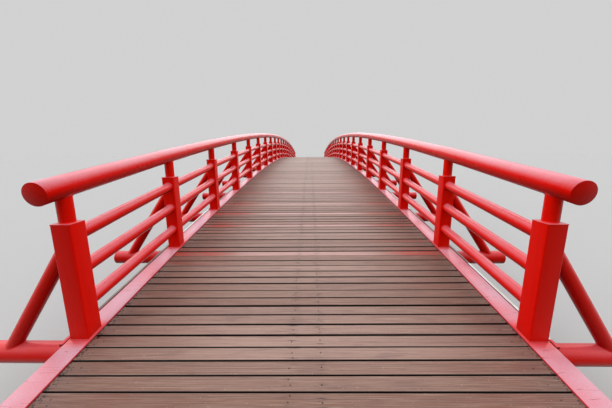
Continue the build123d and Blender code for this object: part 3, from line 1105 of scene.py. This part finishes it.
def eased_block(low, high, ease, tops=None):
    """A block between two corners with eased edges: four outlines, the outer two drawn in.
    Tops are its heights at the lower and higher Y, if its top slopes."""
    x0, y0, z0 = low
    x1, y1, z1 = high
    flat = rounded_box(x1 - x0, y1 - y0, ease, 2) + [(x0 + x1) / 2, (y0 + y1) / 2]
    middle = flat.mean(0)
    inset = (flat - middle) * (1 - 2 * ease / np.array([x1 - x0, y1 - y0])) + middle
    share = (flat[:, 1] - y0) / (y1 - y0)
    top_low, top_high = tops or (z1, z1)
    top = top_low * (1 - share) + top_high * share
    rings = np.zeros((1, 4, len(flat), 3))
    for k, (outline, height) in enumerate(((inset, z0), (flat, z0 + ease),
                                           (flat, top - ease), (inset, top))):
        rings[0, k, :, :2], rings[0, k, :, 2] = outline, height
    return skin(rings)


def make_bearings(name):
    """Wedges under the girders, between a thin sole and a thin top plate."""
    low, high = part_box(f"{name}_bearings")
    tops = [deck_line(y) - GIRDER_DEPTH - TOP_PLATE for y in (low.y, high.y)]
    sole_top = low.z + SOLE_THICKNESS
    plate = rounded_box(BEARING_WIDTH, TOP_PLATE, PLATE_EASE, 2)
    blocks = []
    for side in (-1, 1):
        x0, x1 = side * GIRDER_X - BEARING_WIDTH / 2, side * GIRDER_X + BEARING_WIDTH / 2
        blocks.append(eased_block((x0, low.y, low.z), (x1, high.y, sole_top), PLATE_EASE))
        blocks.append(eased_block((x0 + SOLE_MARGIN, low.y + SOLE_MARGIN, sole_top),
                                  (x1 - SOLE_MARGIN, high.y - SOLE_MARGIN, high.z), PLATE_EASE,
                                  tops))
        blocks.append(skin(along_deck(plate, side * GIRDER_X, np.array([low.y, high.y]),
                                      -GIRDER_DEPTH - TOP_PLATE / 2)))
    make_piece(f"{name}_bearing_wedges", joined(*blocks), BEARING,
               f"{name}_bearings")


def make_abutment(name, end):
    """The concrete seat under the bearings and the wall behind it, with eased arrises."""
    low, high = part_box(f"{name}_abutment")
    outer, inner = (low.y, high.y) if end < 0 else (high.y, low.y)
    wall = outer - end * WALL_THICKNESS
    seat_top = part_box(f"{name}_bearings")[0].z
    seat, back = (eased_block((low.x, min(wall, y), 0.0), (high.x, max(wall, y), top), CONCRETE_EASE)
                  for y, top in ((inner, seat_top), (outer, high.z)))
    make_piece(f"{name}_abutment_concrete", joined(seat, back), CONCRETE,
               f"{name}_abutment")


rows = [make_boards(section) for section in range(DECK_SECTIONS)]
make_screws(*(np.concatenate(part) for part in zip(*rows)))
for name, side in SIDES.items():
    make_girder(name, side)
    make_posts(name, side)
    make_stubs(name, side)
    make_handrail(name, side)
    make_rails(name, side)
    make_outriggers(name, side)
    make_braces(name, side)
    make_joists(name, side)
    make_light_bars(name, side)
make_floor_beams()
for name, end in (("near", -1), ("far", 1)):
    make_end_beam(name, end)
    make_bearings(name)
    make_abutment(name, end)


# Floor, light and camera

def seen_ray(tree):
    """One for the camera's rays and for those that mirrors and glass send on, else nothing."""
    path = outputs(new_node(tree, "LightPath"))
    seen = maths("MAXIMUM", path["Is Camera Ray"], path["Is Glossy Ray"])
    return maths("MAXIMUM", seen, path["Is Transmission Ray"])


def make_floor():
    """A plain pale disc, far wider than the bridge is long. What it throws back up is dimmer
    than what is seen, so that undersides stay dark."""
    points = level(circle(FLOOR_RADIUS, FLOOR_SIDES))
    mesh = bpy.data.meshes.new("floor")
    mesh.from_pydata(points.tolist(), [], [list(range(len(points)))])
    finish, shader, place = new_finish("floor")
    lit, seen = ((grey, grey, grey, 1.0) for grey in (FLOOR_LIT, FLOOR_SEEN))
    set_shader(shader, Base_Color=blend(seen_ray(place.tree), lit, seen), Roughness=1.0,
               Specular_IOR_Level=0.0)
    mesh.materials.append(finish)
    new_object("floor", mesh)


def make_world():
    """A pale surround: one level for what is seen and mirrored, another for what it lights."""
    world = bpy.data.worlds.new("surround")
    bpy.context.scene.world = world
    world.use_nodes = True
    tree = world.node_tree
    tree.nodes.clear()
    light = add(tree, "Background", {"Color": (0.97, 0.99, 1.0, 1.0), "Strength": PALE_LIT})
    shown = add(tree, "Background", {"Color": (PALE, PALE, PALE, 1.0), "Strength": 1.0})
    mixed = add(tree, "MixShader", {0: seen_ray(tree), 1: light, 2: shown})
    new_node(tree, "OutputWorld", {"Surface": mixed})


def make_sky_light(name, azimuth, elevation, width, radiance):
    """A soft round patch of sky: a sun lamp as wide as the patch. Its strength is the
    radiance times pi times the squared sine of half its width."""
    lamp = bpy.data.lights.new(name, "SUN")
    lamp.angle = np.radians(width)
    lamp.energy = radiance * np.pi * np.sin(np.radians(width / 2)) ** 2
    turn, rise = np.radians(azimuth), np.radians(elevation)
    toward = Vector((np.sin(turn) * np.cos(rise), np.cos(turn) * np.cos(rise), np.sin(rise)))
    new_object(name, lamp).rotation_euler = toward.to_track_quat("Z", "Y").to_euler()


def make_camera():
    """The camera, from its place and its yaw, pitch and roll. Its lens gives the focal length
    in pixels on a sensor as wide as the picture."""
    forward = np.array([np.sin(YAW) * np.cos(PITCH), np.cos(YAW) * np.cos(PITCH), np.sin(PITCH)])
    across = np.array([np.cos(YAW), -np.sin(YAW), 0.0])
    upward = np.cross(across, forward)
    right = np.cos(ROLL) * across + np.sin(ROLL) * upward
    up = -np.sin(ROLL) * across + np.cos(ROLL) * upward
    lens = bpy.data.cameras.new("camera")
    lens.sensor_width = SENSOR
    lens.sensor_fit = "HORIZONTAL"
    lens.lens = FOCAL_PIXELS * SENSOR / PHOTO_WIDTH
    lens.clip_end = FARTHEST_SEEN
    camera = new_object("camera", lens)
    eye = (EYE_X, POST_ROWS[0] - EYE_BEFORE_POST, arch(POST_ROWS[0]) + EYE_OVER_GIRDER)
    turned_frame = Matrix((right, up, -forward)).transposed().to_4x4()
    camera.matrix_world = Matrix.Translation(eye) @ turned_frame
    bpy.context.scene.camera = camera


make_floor()
make_world()
for name, patch in SKY_LIGHTS.items():
    make_sky_light(name, *patch)
make_camera()
bpy.context.scene.view_settings.view_transform = "Standard"
